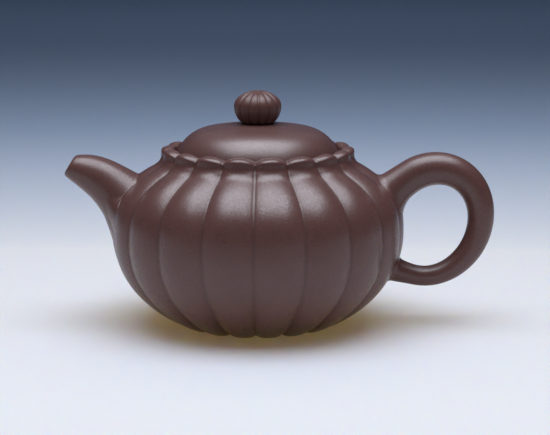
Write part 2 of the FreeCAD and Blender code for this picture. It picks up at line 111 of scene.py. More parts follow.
# %% [markdown]
# One helper turns a grid into a piece of the pot or of the lid. Blender has Recalculate
# Outside for faces that point inwards; here the sign of the enclosed volume tells. Marks
# are numbers kept with each point, such as how near a groove it lies, and the clay's
# material reads them later as attributes.

# %% Piece from a grid
def put_marks(mesh, marks, count):
    """Keeps the values of each point in the mesh by name, with 0 for points that have none."""
    for mark, values in marks.items():
        spread_out = np.zeros(count, np.float32)
        spread_out[:values.size] = values.ravel()
        mesh.attributes.new(mark, "FLOAT", "POINT").data.foreach_set("value", spread_out)


def grid_piece(name, grid, body, ends=None, marks=None):
    """A closed mesh from a grid of points (rows, columns, xyz) whose columns go round.

    ends are the two points that close its first and last row, if it isn't a ring. marks
    are values of each grid point; one more, upward, tells how far each point faces up.
    """
    points = grid.reshape(-1, 3)
    quads, fans = grid_faces(*grid.shape[:2], ends is not None)
    if ends is not None:
        points = np.concatenate([points, np.array(ends)])
    if enclosed_volume(points, quads) < 0:
        quads, fans = quads[:, ::-1], fans[:, ::-1]
    mesh = bpy.data.meshes.new(name)
    mesh.from_pydata(points.tolist(), [], quads.tolist() + fans.tolist())
    mesh.shade_smooth()
    normals = np.empty(3 * len(points), np.float32)
    mesh.vertex_normals.foreach_get("vector", normals)
    put_marks(mesh, {"upward": normals[2::3], **(marks or {})}, len(points))
    piece = bpy.data.objects.new(name, mesh)
    bpy.context.scene.collection.objects.link(piece)
    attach(piece, body)
    size = np.ptp(points, axis=0) / MM
    triangles = 2 * len(quads) + len(fans)
    print(f"{name}: {triangles} triangles, {size[0]:.1f} x {size[1]:.1f} x {size[2]:.1f} mm")
    return piece


# %% [markdown]
# No edge of a clay pot is sharp: a wet sponge takes it down before firing. A Bevel
# modifier could round the edges of a finished mesh. Here the outline is rounded before it
# becomes a mesh, which keeps the rows even. One helper spaces points evenly along a line,
# the other takes a bell-weighted mean of neighbours, much as the sponge does.

# %% Outline helpers
def even_steps(path, step):
    """The path cut into even steps of about the given length."""
    lengths = np.linalg.norm(np.diff(path, axis=0), axis=1)
    reach = np.concatenate([[0], np.cumsum(lengths)])
    goals = np.linspace(0, reach[-1], max(int(round(reach[-1] / step)), 2) + 1)
    return np.stack([np.interp(goals, reach, axis) for axis in path.T], axis=1)


def softened(path, spread, closed=False):
    """Each point becomes the mean of its neighbours, weighted by a bell of this spread in steps."""
    reach = int(np.ceil(3 * spread))
    weights = np.exp(-0.5 * (np.arange(-reach, reach + 1) / spread) ** 2)
    weights /= weights.sum()
    if closed:
        padded = np.concatenate([path[-reach:], path, path[:reach]])
    else:
        padded = np.concatenate([2 * path[0] - path[reach:0:-1], path,
                                 2 * path[-1] - path[-2:-reach - 2:-1]])
    return np.stack([np.convolve(axis, weights, mode="valid") for axis in padded.T], axis=1)


square = even_steps(np.array([[0, 0], [9, 0], [9, 9]]), 1)
print("a corner at 9, 0 softened by two steps moves to", softened(square, 2)[9].round(1).tolist())

# %% [markdown]
# The lobes are what this kind of pot is known for. A potter presses each groove into
# the leather-hard wall with a shaped tool, so between two gently rounded lobes runs a
# narrow channel with a flat bottom. Lobes could be sculpted, but a formula gives all of
# them the same depth: how far the wall lies inside its crest, measured along the wall's
# own normal, so that under the belly the grooves lift off the table as on the real pot.
# Columns crowd towards the grooves, where the surface turns quickly.

# %% Lobes
LOBES, LOBE_HALF_COLUMNS = 18, 14
GROOVE_ROUNDING = 0.35 * MM


def smooth_rise(value, low, high):
    """From 0 at low to 1 at high, level at both ends."""
    share = np.clip((value - low) / (high - low), 0, 1)
    return share * share * (3 - 2 * share)


def lobe_columns(count, half_columns):
    """Angles of the columns, and their positions across a lobe from -1 to 1 (grooves at both)."""
    from_groove = (np.arange(half_columns) / half_columns) ** 2 - 1
    across = np.concatenate([from_groove, [0], -from_groove[:0:-1]])
    angles = (np.arange(count)[:, None] + across / 2) * 2 * np.pi / count
    return angles.ravel(), np.tile(across, count)


def lobe_depth(across, half_width, valley, power, channel, channel_edges):
    """Depth below the crest: a round valley, plus a flat channel between two smooth edges.

    The valley grows with a power of the way from the crest, and its line at the groove
    is rounded. channel_edges are where the channel's bottom ends and where its side ends.
    """
    from_groove = (1 - np.abs(across)) * half_width
    rounded = np.sqrt(from_groove ** 2 + GROOVE_ROUNDING ** 2)
    bowl = valley * np.clip(1 - rounded / half_width, 0, 1) ** power
    return bowl + channel * (1 - smooth_rise(from_groove, *channel_edges))


lobe_angles, lobe_across = lobe_columns(LOBES, LOBE_HALF_COLUMNS)
print("columns round the wall:", len(lobe_angles))

# %% [markdown]
# The wall's outline has two formulas that meet at the belly: below, the bowl springs
# almost level from the foot and turns upright; above, the shoulder leans in to the neck.
# It could be a hand-drawn curve; formulas keep it free of bumps, which a highlight would
# show. The collar grows out of the neck without a seam, because the potter smooths the
# joint away, so the outline simply goes on: up a hollow curve, over the rounded lip, and
# down the bore in which the lid sits. The inside is smooth.

# %% Outline of the wall
NECK_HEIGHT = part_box("shoulder_wall")[1].z
COLLAR_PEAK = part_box("scalloped_collar")[1].z
BASE_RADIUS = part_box("base_disc")[1].x
FLOOR_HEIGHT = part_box("base_disc")[1].z
OUTSIDE = {"foot": 27.0, "belly": 53.56, "neck": 35.4, "belly_height": 34.0,
           "belly_power": 2.175, "foot_power": 0.818, "shoulder_power": 2.99}
INSIDE = {"foot": 25.0, "belly": 49.5, "neck": 30.5, "belly_height": 43.5,
          "belly_power": 2.83, "foot_power": 0.763, "shoulder_power": 1.63}
BOWL_POINTS, BOWL_CROWDING, SHOULDER_POINTS = 400, 0.7, 200


def pot_outline(shape, floor, top):
    """Radius and height from the foot to the neck.

    Below the belly the radius is foot + swell * (1 - drop**power)**power; above it
    is neck + swell * (1 - climb**power), with drop and climb from 0 to 1.
    """
    foot, belly, neck, waist = [shape[name] * MM for name in ("foot", "belly", "neck", "belly_height")]
    drop = np.cos(np.linspace(0, np.pi / 2, BOWL_POINTS)) ** BOWL_CROWDING
    climb = np.linspace(0, 1, SHOULDER_POINTS)[1:]
    bowl = foot + (belly - foot) * (1 - drop ** shape["belly_power"]) ** shape["foot_power"]
    shoulder = neck + (belly - neck) * (1 - climb ** shape["shoulder_power"])
    heights = np.concatenate([waist - (waist - floor) * drop, waist + (top - waist) * climb])
    return np.stack([np.concatenate([bowl, shoulder]), heights], axis=1)


NECK_DROP, NECK_BEND_START = 0.7 * MM, 58.3 * MM
shoulder_path = pot_outline(OUTSIDE, 0, NECK_HEIGHT - NECK_DROP)
shoulder_path = shoulder_path[shoulder_path[:, 1] < NECK_BEND_START]
print("shoulder ends at radius and height in mm:", np.round(shoulder_path[-1] / MM, 1).tolist())

# %% [markdown]
# Foot, shoulder, neck and collar are strung together. On the real pot the resting ring
# is trimmed with a knife and the collar is a strip of clay. The whole line is cut into
# fine steps and softened once, so that no part meets the next with a kink. Then every
# third or fifth point is kept, more on the collar, which is finely shaped.

# %% Foot, neck and collar
FOOT_CORNERS = np.array([[0, 1.6], [0, 0.5], [0.6, 0]]) * MM + [BASE_RADIUS, 0]
NECK_CORNER, NECK_POINTS = np.array([35.45, 59.85]) * MM, 30
COLLAR_CORNERS = np.array([[35.3, 62.0], [35.3, 64.2], [35.1, 64.65], [34.4, 65.15], [33.2, 65.5],
                           [31.8, 65.6], [30.6, 65.2], [30.4, 64.5], [30.4, 60.2]]) * MM
FINE_STEP, FINE_ROUNDING = 0.15 * MM, 2
BODY_STRIDE, COLLAR_STRIDE, COLLAR_ROWS_DROP = 5, 3, 1.5 * MM
INNER_STEP, INNER_TOP_DROP = 3 * MM, 2.5 * MM


def bend(start, control, end, count):
    """A quadratic curve that leaves start towards control and reaches end from there."""
    step = np.linspace(0, 1, count)[1:].reshape(-1, *[1] * np.ndim(start))
    return (1 - step) ** 2 * start + 2 * step * (1 - step) * control + step ** 2 * end


neck_bend = bend(shoulder_path[-1], NECK_CORNER, COLLAR_CORNERS[0], NECK_POINTS)
fine_path = np.concatenate([FOOT_CORNERS, shoulder_path, neck_bend, COLLAR_CORNERS[1:]])
fine_path = softened(even_steps(fine_path, FINE_STEP), FINE_ROUNDING)
collar_start = np.argmax(fine_path[:, 1] > NECK_HEIGHT - COLLAR_ROWS_DROP)
crest_path = np.concatenate([fine_path[:collar_start:BODY_STRIDE], fine_path[collar_start::COLLAR_STRIDE]])
inner_path = pot_outline(INSIDE, FLOOR_HEIGHT, NECK_HEIGHT - INNER_TOP_DROP)[::-1]
inner_path = np.concatenate([inner_path, [[BASE_RADIUS, FLOOR_HEIGHT]]])
inner_path = even_steps(inner_path, INNER_STEP)
print("outline rows:", len(crest_path), "outside and", len(inner_path), "inside")

# %% [markdown]
# Now the lobes are pressed into the outline. A Screw modifier could turn the outline
# into a plain pot, and a Displace modifier could push the lobes in, but the lobes change
# on their way up: deep and narrow at the foot, broad at the belly, and on the collar each
# becomes a petal whose lip arches between two notches. So their depth, their power and
# their direction are functions of the height, and the result is one grid.

# %% Pressing the lobes
LOBE_HEIGHTS = np.array([6, 18, 34, 48]) * MM
LOBE_SHARES, LOBE_POWERS = (0.25, 0.17, 0.17, 0.215), (3.0, 2.2, 2.2, 2.2)
CHANNEL, CHANNEL_EDGES = 0.1 * MM, (0.3 * MM, 0.9 * MM)
SCALLOP_START, SCALLOP_FULL = 21.8 * MM, 25.5 * MM
COLLAR_VALLEY, COLLAR_BLEND = 2.1 * MM, 1.3 * MM
LIP_INNER, LIP_TOP = 30.8 * MM, 33.0 * MM
PETAL_ARCH, ARCH_START, ARCH_FULL = 1.5 * MM, NECK_HEIGHT + 1.5 * MM, COLLAR_PEAK - 0.5 * MM


def outward(path):
    """Unit normals on the right of a path of radius and height: outward when it climbs."""
    along = np.gradient(path, axis=0)
    along /= np.linalg.norm(along, axis=1, keepdims=True)
    return np.stack([along[:, 1], -along[:, 0]], axis=1)


def press_lobes(path, across):
    """The outline with the lobes pressed in: a grid of radius and height, and their strength.

    On the wall the lobes are pressed along the outline's normal, to a share of their
    half width and with a power that change with the height, and fade out under the base.
    On the collar they are pressed level, and fade out over the lip, which also dips with
    the square of the way across.
    """
    radius, height = path.T
    past_lip = np.arange(len(path)) > np.argmax(height)
    fade = smooth_rise(radius, SCALLOP_START, SCALLOP_FULL)
    fade = np.where(past_lip, smooth_rise(radius, LIP_INNER, LIP_TOP), fade)
    on_collar = np.where(past_lip, 1, smooth_rise(height, NECK_HEIGHT, NECK_HEIGHT + COLLAR_BLEND))
    half_width = radius * np.pi / LOBES
    valley = np.interp(height, LOBE_HEIGHTS, LOBE_SHARES) * half_width
    valley = fade * (valley + (COLLAR_VALLEY - valley) * on_collar)
    power = np.interp(height, LOBE_HEIGHTS, LOBE_POWERS)
    depth = lobe_depth(across, half_width[:, None], valley[:, None], power[:, None],
                       (fade * CHANNEL)[:, None], CHANNEL_EDGES)
    inward = (1 - on_collar[:, None]) * outward(path) + on_collar[:, None] * [1, 0]
    pressed = path[:, None, :] - depth[..., None] * inward[:, None, :]
    pressed[..., 1] -= PETAL_ARCH * smooth_rise(height, ARCH_START, ARCH_FULL)[:, None] * across ** 2
    return pressed, fade


pressed_wall, lobe_fade = press_lobes(crest_path, lobe_across)
print("smallest and largest radius of the wall in mm:",
      np.round([pressed_wall[..., 0].min() / MM, pressed_wall[..., 0].max() / MM], 1).tolist())

# %% [markdown]
# The wall is one piece of clay to the eye, and so it is one mesh: outside, lip and inside
# close into a ring. It takes the place of three CAD solids, whose joints the potter would
# have smoothed away. Two marks go with it: where the grooves are, which the material makes
# duller and paints darker, a painted shade for the shade that falls in them, and where the
# inside is, which is scraped and not burnished.

# %% Wall of the pot
def turned(path, angles):
    """A grid of points: each point of a path of radius and height, carried round the axis.

    The path is one outline for all columns, or has its own outline in each column.
    """
    radius, height = np.moveaxis(path if path.ndim == 3 else path[:, None, :], -1, 0)
    height = np.broadcast_to(height, (len(path), len(angles)))
    return np.stack([radius * np.cos(angles), radius * np.sin(angles), height], axis=-1)


wall_grid = np.concatenate([turned(pressed_wall, lobe_angles), turned(inner_path, lobe_angles)])
groove_way = (1 - np.abs(lobe_across)) * crest_path[:, :1] * np.pi / LOBES
# The clay's material reads this groove mark and paints shade into the grooves.
groove_mark = lobe_fade[:, None] * (1 - smooth_rise(groove_way, *CHANNEL_EDGES))
inside_mark = np.ones((len(inner_path), len(lobe_angles)))
pot_wall = grid_piece("pot_wall", wall_grid, "pot",
                      marks={"groove": np.concatenate([groove_mark, 0 * inside_mark]),
                             "scraped": np.concatenate([0 * groove_mark, inside_mark])})
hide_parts("bowl_wall", "shoulder_wall", "scalloped_collar")

# %% [markdown]
# Spout and handle end on the lobed wall, so they must know where it is. A Shrinkwrap
# modifier or a ray cast could find it. All lobes are alike, though, so a lookup does it
# for whole arrays at once: for half a lobe, the radius at each height, from which the
# radius at any angle follows.

# %% Where the wall is
LOOKUP_COLUMNS, LOOKUP_ROWS = 60, 300
LOOKUP_LOW, LOOKUP_HIGH = 3 * MM, NECK_HEIGHT - 2 * MM
LAST_CELL = 1.001
WALL_ACROSS = np.linspace(0, 1, LOOKUP_COLUMNS)
WALL_HEIGHTS = np.linspace(LOOKUP_LOW, LOOKUP_HIGH, LOOKUP_ROWS)
climbing = crest_path[:np.argmax(crest_path[:, 1])]
lookup_wall = press_lobes(climbing, WALL_ACROSS)[0].transpose(1, 0, 2)
WALL_RADII = np.stack([np.interp(WALL_HEIGHTS, column[:, 1], column[:, 0]) for column in lookup_wall])


def wall_radius(angle, height):
    """The wall's radius at an angle and height, between the nearest values of the lookup."""
    turn = angle * LOBES / (2 * np.pi)
    across = 2 * np.abs(turn - np.round(turn)) * (LOOKUP_COLUMNS - 1)
    level = (height - WALL_HEIGHTS[0]) / (WALL_HEIGHTS[1] - WALL_HEIGHTS[0])
    across = np.clip(across, 0, LOOKUP_COLUMNS - LAST_CELL)
    level = np.clip(level, 0, LOOKUP_ROWS - LAST_CELL)
    column, row = across.astype(int), level.astype(int)
    right, up = across - column, level - row
    low = WALL_RADII[column, row] * (1 - right) + WALL_RADII[column + 1, row] * right
    high = WALL_RADII[column, row + 1] * (1 - right) + WALL_RADII[column + 1, row + 1] * right
    return low * (1 - up) + high * up


belly_heights = np.full(2, OUTSIDE["belly_height"] * MM)
print("wall radius at the belly, crest and groove:",
      np.round(wall_radius(np.radians([0, 180 / LOBES]), belly_heights) / MM, 2))

# %% [markdown]
# A potter joins spout and handle with slip and then works the joint with a thumb or a
# bamboo tool. Above, where the tool is drawn along, the joint stays a crease; below, the
# clay is smeared into a soft blend. A Boolean union with a bevel could join the meshes,
# but leaves ragged faces and the same edge all round. Here each line along the piece is
# followed to where it meets the wall. A curve leaves the line a little before that point
# and lands on the wall a little beyond it.

# %% Landing on the wall
SINK = 0.12 * MM


def wall_normal(points):
    """Unit normals of the wall near points: straight out, tilted by the slope of its radius."""
    angle = np.arctan2(points[:, 1], points[:, 0])
    slope = (wall_radius(angle, points[:, 2] + MM) - wall_radius(angle, points[:, 2] - MM)) / (2 * MM)
    normal = np.stack([np.cos(angle), np.sin(angle), -slope], axis=1)
    return normal / np.linalg.norm(normal, axis=1, keepdims=True)


def landing_points(roots, reach):
    """Points a hair below the wall's surface, so far outside a ring of root points on it."""
    normal = wall_normal(roots)
    away = roots - roots.mean(axis=0)
    away -= np.einsum("ij,ij->i", away, normal)[:, None] * normal
    away /= np.linalg.norm(away, axis=1, keepdims=True)
    landing = roots + away * reach[:, None]
    angle = np.arctan2(landing[:, 1], landing[:, 0])
    radius = wall_radius(angle, landing[:, 2]) - SINK
    return np.stack([radius * np.cos(angle), radius * np.sin(angle), landing[:, 2]], axis=1)


print("blends end", round(SINK / MM, 2), "mm below the wall's surface")

# %% [markdown]
# The second half of the joint is the search for the meeting points. All lines of a piece
# are searched together: the first step at which a line is inside the wall is found, and
# the meeting point lies between it and the one before, nearer to the one that is closer.

# %% Joining a piece to the wall
BLEND_ROWS = 14
TOUCH = 0.001 * MM


def above_wall(points):
    """How far points lie outside the wall, measured away from the pot's axis."""
    x, y, z = np.moveaxis(points, -1, 0)
    return np.hypot(x, y) - wall_radius(np.arctan2(y, x), z)


def at_steps(lines, steps):
    """Points of each column's line at steps that may lie between its points."""
    steps = np.clip(steps, 0, len(lines) - LAST_CELL)
    below = steps.astype(int)
    share = (steps - below)[..., None]
    column = np.arange(lines.shape[1])
    return lines[below, column] * (1 - share) + lines[below + 1, column] * share


def rooted(lines, blend, rows):
    """Lines (points, columns, xyz) that run into the wall, ended softly on it.

    Each column gets rows points up to its blend's start, then a curve whose middle
    control point is where the line meets the wall, or else where the line ends.
    """
    gap = above_wall(lines)
    gap[-1] = np.minimum(gap[-1], -TOUCH)
    column = np.arange(lines.shape[1])
    hit = np.argmax(gap < 0, axis=0)
    before, after = gap[hit - 1, column], gap[hit, column]
    meeting = hit - 1 + before / (before - after)
    roots = at_steps(lines, meeting)
    spacing = np.linalg.norm(lines[hit, column] - lines[hit - 1, column], axis=-1)
    outside = at_steps(lines, np.linspace(0, 1, rows)[:, None] * (meeting - blend / spacing))
    curve = bend(outside[-1], roots, landing_points(roots, blend), BLEND_ROWS + 1)
    return np.concatenate([outside, curve])


print("rows in each blend:", BLEND_ROWS)

# %% [markdown]
# The spout is short and thick: clay rolled round a stick, bent, and cut at the tip. A
# curve with a bevel would give a tube of even width. This one widens all the way, so its
# upper edge and its underside are two curves of their own, and round sections fill the
# space between them.

# %% Outside of the spout
SPOUT_TOP = np.array([[-66, 62], [-55.3, 63.1], [-49.3, 57.2], [-38, 52]]) * MM
SPOUT_UNDER = np.array([[-70.6, 54.2], [-63.2, 48], [-56, 44.9], [-52, 26]]) * MM
SPOUT_COLUMNS, SPOUT_ROWS, SPOUT_FINE, SPOUT_RIM_END = 96, 60, 400, 0.012
SPOUT_CREASE, SPOUT_SMEAR, SPOUT_UNDERSIDE = 0.9 * MM, 9.5 * MM, (-0.35, 0.5)
spout_around = np.linspace(0, 2 * np.pi, SPOUT_COLUMNS, endpoint=False)


def bezier(points, steps):
    """A cubic curve through four control points, at steps from 0 to 1."""
    steps = steps[:, None]
    rest = 1 - steps
    first, second, third, fourth = np.array(points)
    middle = 3 * rest * steps * (rest * second + steps * third)
    return rest ** 3 * first + middle + steps ** 3 * fourth


def round_sections(top, under, half_width, around):
    """Sections between two edges in the XZ plane: ellipses that also reach half_width to each side."""
    middle, half = (top + under) / 2, (top - under) / 2
    flat = middle[:, None, :] + np.cos(around)[None, :, None] * half[:, None, :]
    side = np.sin(around) * half_width[:, None]
    return np.stack([flat[..., 0], side, flat[..., 1]], axis=-1)


def spout_lines(steps, inset):
    """Round sections at the given steps along the spout, with their radius made smaller by inset."""
    top, under = bezier(SPOUT_TOP, steps), bezier(SPOUT_UNDER, steps)
    half, middle = (top - under) / 2, (top + under) / 2
    radius = np.linalg.norm(half, axis=1)
    half = half * ((radius - inset) / radius)[:, None]
    return round_sections(middle + half, middle - half, radius - inset, spout_around)


skin_steps = np.linspace(SPOUT_RIM_END, 1, SPOUT_FINE)
spout_under_share = smooth_rise(-np.cos(spout_around), *SPOUT_UNDERSIDE)
spout_smear = SPOUT_CREASE + (SPOUT_SMEAR - SPOUT_CREASE) * spout_under_share
spout_skin = rooted(spout_lines(skin_steps, np.zeros(SPOUT_FINE)), spout_smear, SPOUT_ROWS)
print("spout tip width in mm:", round(np.ptp(spout_skin[0, :, 1]) / MM, 1))

# %% [markdown]
# The spout's wall thins towards the tip, where its rim is rounded over into the bore. A
# Solidify modifier gives one thickness everywhere. Here the bore is the same sections
# made smaller by a thickness that changes along the spout, and half a circle rolls the
# rim over. The bore runs back until it is hidden in the wall.

# %% Bore and rim of the spout
SPOUT_RIM_WALL, SPOUT_ROOT_WALL = 1.6 * MM, 2.8 * MM
SPOUT_TIP, SPOUT_BORE_END = -0.028, 0.75
SPOUT_BORE_ROWS, SPOUT_RIM_ROWS = 30, 10

bore_steps = np.linspace(SPOUT_BORE_END, SPOUT_RIM_END, SPOUT_BORE_ROWS)
spout_bore = spout_lines(bore_steps, SPOUT_RIM_WALL + (SPOUT_ROOT_WALL - SPOUT_RIM_WALL) * bore_steps)
roll = np.linspace(np.pi, 0, SPOUT_RIM_ROWS + 2)[1:-1]
rim_steps = SPOUT_RIM_END - (SPOUT_RIM_END - SPOUT_TIP) * np.sin(roll)
spout_rim = spout_lines(rim_steps, SPOUT_RIM_WALL * (1 - np.cos(roll)) / 2)
pot_spout = grid_piece("pot_spout", np.concatenate([spout_skin, spout_bore, spout_rim]), "pot")
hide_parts("spout")

# %% [markdown]
# The handle is a rolled coil bent into a leaning loop. It could be a curve with a bevel
# and a taper, but its two edges have forms of their own: in the side view the outer and
# the inner edge are ellipses that lean towards the spout's side. At the top the outer
# edge runs on straight into the shoulder, and at the bottom it runs level into the bowl.

# %% Handle edges
OUTER_LOOP = {"centre": (63.33, 38.57), "across": 22.9, "along": 25.35, "lean": 25.6}
INNER_LOOP = {"centre": (63.75, 36.28), "across": 12.5, "along": 15.8, "lean": 26.8}
LOOP_START, LOOP_STRAIGHT, LOOP_END = np.radians([186, 140, -75])
HANDLE_TOP_END = np.array([41.5, 52.6]) * MM
HANDLE_TAIL_OUTER = np.array([[54.2, 14.7], [44, 16.5]]) * MM
HANDLE_TAIL_INNER = np.array([[55.2, 21.7], [46, 27.5]]) * MM
ROOT_POINTS, LOOP_POINTS, EDGE_ROUNDING = 80, 400, 6


def loop_point(loop, turn):
    """A point of a leaning ellipse: across and along its axes, turned by its lean."""
    lean = np.radians(loop["lean"])
    across, along = loop["across"] * np.cos(turn), loop["along"] * np.sin(turn)
    x = loop["centre"][0] + across * np.cos(lean) + along * np.sin(lean)
    z = loop["centre"][1] - across * np.sin(lean) + along * np.cos(lean)
    return np.stack([x, z], axis=-1) * MM


root_turns = np.linspace(LOOP_START, LOOP_STRAIGHT, ROOT_POINTS, endpoint=False)
loop_turns = np.linspace(LOOP_STRAIGHT, LOOP_END, LOOP_POINTS)
straight = np.linspace(0, 1, ROOT_POINTS, endpoint=False)[:, None]
outer_root = HANDLE_TOP_END + straight * (loop_point(OUTER_LOOP, LOOP_STRAIGHT) - HANDLE_TOP_END)
outer_edge = np.concatenate([outer_root, loop_point(OUTER_LOOP, loop_turns),
                             bend(loop_point(OUTER_LOOP, LOOP_END), *HANDLE_TAIL_OUTER, ROOT_POINTS)])
inner_edge = np.concatenate([loop_point(INNER_LOOP, root_turns), loop_point(INNER_LOOP, loop_turns),
                             bend(loop_point(INNER_LOOP, LOOP_END), *HANDLE_TAIL_INNER, ROOT_POINTS)])
outer_edge, inner_edge = softened(outer_edge, EDGE_ROUNDING), softened(inner_edge, EDGE_ROUNDING)
thickness = np.linalg.norm(outer_edge - inner_edge, axis=1)
print("handle thickness in mm, root, loop and tail:",
      np.round(thickness[[ROOT_POINTS, len(thickness) // 2, -ROOT_POINTS]] / MM, 1).tolist())

# %% [markdown]
# Round sections between the two edges make the coil, as on the spout. Each half of it
# is then rooted in the wall, from the middle of the loop outwards. The upper root has a
# longer blend on its underside, where a thumb has pushed the clay; the lower one is
# joined with a small even fillet. The loaf's two ends close inside the wall.

# %% Handle
HANDLE_COLUMNS, HANDLE_HALF_ROWS = 72, 75
HANDLE_CREASE, HANDLE_SMEAR, HANDLE_UNDERSIDE = 2.0 * MM, 4.2 * MM, (0.1, 1.0)
HANDLE_TAIL_SMEAR = 1.8 * MM
HANDLE_END_SINK = 2 * MM

handle_around = np.linspace(0, 2 * np.pi, HANDLE_COLUMNS, endpoint=False)
handle_lines = round_sections(outer_edge, inner_edge, thickness / 2, handle_around)
handle_under_share = smooth_rise(-np.cos(handle_around), *HANDLE_UNDERSIDE)
handle_smear = HANDLE_CREASE + (HANDLE_SMEAR - HANDLE_CREASE) * handle_under_share
middle_row = len(handle_lines) // 2
upper = rooted(handle_lines[middle_row::-1], handle_smear, HANDLE_HALF_ROWS)
lower = rooted(handle_lines[middle_row:], np.full(HANDLE_COLUMNS, HANDLE_TAIL_SMEAR), HANDLE_HALF_ROWS)
handle_grid = np.concatenate([upper[::-1], lower[1:]])
handle_ends = handle_grid[[0, -1]].mean(axis=1) - [HANDLE_END_SINK, 0, 0]
pot_handle = grid_piece("pot_handle", handle_grid, "pot", ends=handle_ends)
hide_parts("handle")

# %% [markdown]
# Three plain rings are turned on the wheel: the ledge of the mouth, the flat ring that
# the lid sits on, and the flange that keeps the lid in place. A Screw modifier would make
# them too. The helper that turned the wall serves as well, with four softened corners.

# %% Turned rings
TURNED_COLUMNS, RING_STEP = 192, 0.25
LEDGE = {"inner": 24, "outer": 30.7, "low": 58, "high": 60.5}
SEAT = {"inner": 21, "outer": 29.7, "low": 60.5, "high": 62.9}
FLANGE = {"inner": 21, "outer": 23.4, "low": 54.5, "high": 60.9}
RING_ROUNDING, SEAT_ROUNDING = 1.5, 1.2
turned_angles = np.linspace(0, 2 * np.pi, TURNED_COLUMNS, endpoint=False)


def ring_corners(inner, outer, low, high):
    """The four corners of a ring's outline, as radius and height."""
    return [(inner, low), (outer, low), (outer, high), (inner, high)]


def turned_ring(name, corners, step, rounding, body, node):
    """A ring from the corners of its outline in millimetres, rounded by so many steps."""
    corners = np.array(corners) * MM
    path = even_steps(np.concatenate([corners, corners[:1]]), step * MM)[:-1]
    path = softened(path, rounding, closed=True)
    piece = grid_piece(name, turned(path, turned_angles), body)
    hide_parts(node)
    return piece


mouth_ledge = turned_ring("mouth_ledge", ring_corners(**LEDGE), RING_STEP, RING_ROUNDING, "pot", "mouth_ring")
lid_seat = turned_ring("lid_seat", ring_corners(**SEAT), RING_STEP, SEAT_ROUNDING, "lid", "lid_seat_ring")
lid_collar = turned_ring("lid_collar", ring_corners(**FLANGE), RING_STEP, RING_ROUNDING, "lid", "lid_flange")

# %% [markdown]
# The lid is a shallow dome with a full shoulder, pressed over a mould. A squashed ball
# would come near, but the real one is flatter on top: a very large arc over the middle
# and a small one down to the edge, tangent to each other. Inside, both arcs are moved in
# by the wall's thickness. A small hole in the middle lets steam and air pass.

# %% Lid dome
CROWN_RADIUS, SHOULDER_RADIUS, ARC_POINTS = 104.0, 14.2, 60
LID_EDGE_RADIUS, LID_EDGE_HEIGHT, LID_WALL, VENT_RADIUS = 29.8, 62.5, 3.0, 1.2
DOME_STEP, DOME_ROUNDING = 0.3, 1.3
lid_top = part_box("lid_dome")[1].z / MM


def dome_arcs(inset):
    """Two tangent arcs from the vent to the edge, both moved in by inset, in millimetres.

    The shoulder's centre is where two circles cross: one round the crown's centre,
    as wide as the radii differ, and one shoulder radius round the edge.
    """
    crown = np.array([0, lid_top - CROWN_RADIUS])
    edge = np.array([LID_EDGE_RADIUS - inset, LID_EDGE_HEIGHT])
    apart, reach = CROWN_RADIUS - SHOULDER_RADIUS, SHOULDER_RADIUS - inset
    span = np.linalg.norm(edge - crown)
    along = (apart ** 2 - reach ** 2 + span ** 2) / (2 * span)
    line = (edge - crown) / span
    shoulder = crown + along * line + np.sqrt(apart ** 2 - along ** 2) * np.array([-line[1], line[0]])
    turn = np.arctan2(*(shoulder - crown)[::-1])
    start = np.arccos(VENT_RADIUS / (CROWN_RADIUS - inset))
    crown_turns = np.linspace(start, turn, ARC_POINTS)
    edge_turns = np.linspace(turn, np.arctan2(*(edge - shoulder)[::-1]), ARC_POINTS)[1:]
    way = [np.stack([np.cos(turns), np.sin(turns)], axis=1) for turns in (crown_turns, edge_turns)]
    return np.concatenate([crown + (CROWN_RADIUS - inset) * way[0], shoulder + reach * way[1]])


dome_corners = np.concatenate([dome_arcs(0), dome_arcs(LID_WALL)[::-1]])
lid_shell = turned_ring("lid_shell", dome_corners, DOME_STEP, DOME_ROUNDING, "lid", "lid_dome")

# %% [markdown]
# The knob is a small ball of clay, pressed into ribs like a bud. It could be a UV sphere
# with its edges scaled in, but the lobe formula of the wall gives the same crisp grooves
# at a finer size. Its outline is parts of two ellipses, taller below the waist than above,
# and goes on down the small steam hole at the top, so that the grid is a ring again.

# %% Knob outline
KNOB_RADIUS, KNOB_WAIST, KNOB_RISE, KNOB_DROP = 8.65 * MM, 80.2 * MM, 5.7 * MM, 8.3 * MM
KNOB_LATITUDES = np.radians(np.linspace(-49, 79, 300))
KNOB_VENT = np.array([[1.2, 85.95], [0.85, 85.7], [0.8, 83], [1.2, 73.6]]) * MM
KNOB_STEP, KNOB_ROUNDING, KNOB_STRIDE = 0.06 * MM, 3, 5

lift = np.where(KNOB_LATITUDES > 0, KNOB_RISE, KNOB_DROP) * np.sin(KNOB_LATITUDES)
ball = np.stack([KNOB_RADIUS * np.cos(KNOB_LATITUDES), KNOB_WAIST + lift], axis=1)
knob_path = even_steps(np.concatenate([ball, KNOB_VENT, ball[:1]]), KNOB_STEP)
knob_path = softened(knob_path, KNOB_ROUNDING)[:-1:KNOB_STRIDE]
print("rows of the knob:", len(knob_path))

# %% [markdown]
# The ribs fade out before the steam hole, where they would run into each other, and have
# no place inside it. The ball is turned by a few degrees, because the knob was set on the
# lid by eye and its grooves don't line up with those of the wall.

# %% Ribs of the knob
RIBS, RIB_HALF_COLUMNS = 14, 8
RIB_VALLEY, RIB_POWER, RIB_CHANNEL = 0.42 * MM, 2.2, 0.14 * MM
RIB_EDGES = 0.2 * MM, 0.62 * MM
RIB_START, RIB_FULL, RIB_SMALLEST_RADIUS = 1.3 * MM, 3 * MM, 1 * MM
KNOB_TURN = np.radians(4)

